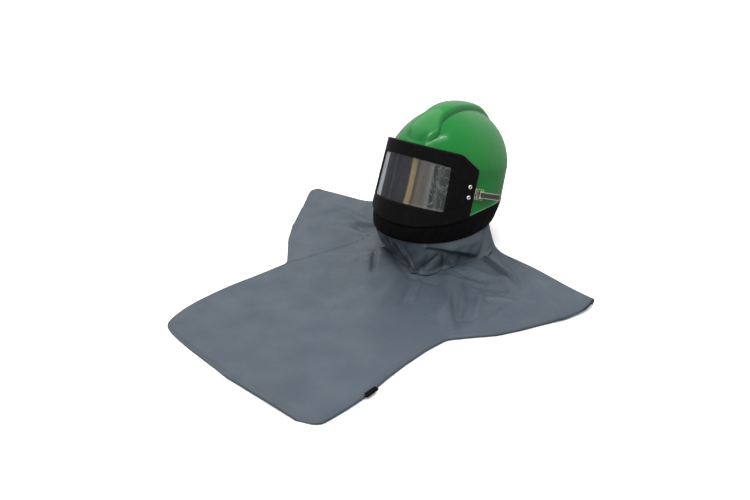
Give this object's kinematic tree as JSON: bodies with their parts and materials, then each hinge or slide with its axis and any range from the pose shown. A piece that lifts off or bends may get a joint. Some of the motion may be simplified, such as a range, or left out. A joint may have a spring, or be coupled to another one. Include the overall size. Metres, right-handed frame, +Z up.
{
  "type": "sandblasting hood",
  "caption": "Green sandblasting hood: crested helmet, black visor frame with clear window and wire latch, padded neck seal and grey-blue cloth cape lying folded.",
  "frame": {"origin": "on the resting surface, under the helmet, at the middle of the cape's width", "axes": "+Z up, -Y the way the hood faces and the cape is spread, +X the wearer's left, where the latch is"},
  "size_m": [0.776, 0.8222, 0.3152],
  "materials": {
    "green_shell": "glossy green moulding",
    "black_moulding": "semi-matte black moulding",
    "black_padding": "black coated padding",
    "clear_pane": "clear, reflective",
    "steel": "plated pressed steel",
    "cape_cloth": "grey-blue coated nylon cloth",
    "black_tag": "plain black woven tab"
  },
  "bodies": {
    "hood": {"shell": "green_shell", "neck_seal": "black_padding", "collar": "cape_cloth", "cape_front": "cape_cloth", "cape_back": "cape_cloth", "hem_tag": "black_tag", "latch_base": "steel", "latch_pin": "steel", "hinge_shell_leaf": "steel", "hinge_pin": "steel"},
    "visor": {"visor_frame": "black_moulding", "window": "clear_pane", "rivet_near_upper": "steel", "rivet_near_lower": "steel", "rivet_far_upper": "steel", "rivet_far_lower": "steel", "keeper": "steel", "hinge_frame_leaf": "steel"},
    "lever": {"latch_lever": "steel"},
    "bail": {"latch_bail": "steel"}
  },
  "joints": [
    {"name": "visor_swing", "type": "hinge", "parent": "hood", "child": "visor", "pos_m": [-0.09732, -0.06476, 0.16752], "axis": [-0.0014, -0.4186, -0.9082], "range_deg": [0, 100]},
    {"name": "latch_lever_swing", "type": "hinge", "parent": "hood", "child": "lever", "pos_m": [0.12343, -0.02754, 0.15974], "axis": [0.1126, -0.4038, -0.9079], "range_deg": [0, 110]},
    {"name": "bail_swing", "type": "hinge", "parent": "lever", "child": "bail", "pos_m": [0.12203, -0.01663, 0.15471], "axis": [0.1126, -0.4038, -0.9079], "range_deg": [-110, 0]}
  ],
  "couplings": [
    {"joint": "bail_swing", "follows": "latch_lever_swing", "ratio": -1}
  ]
}
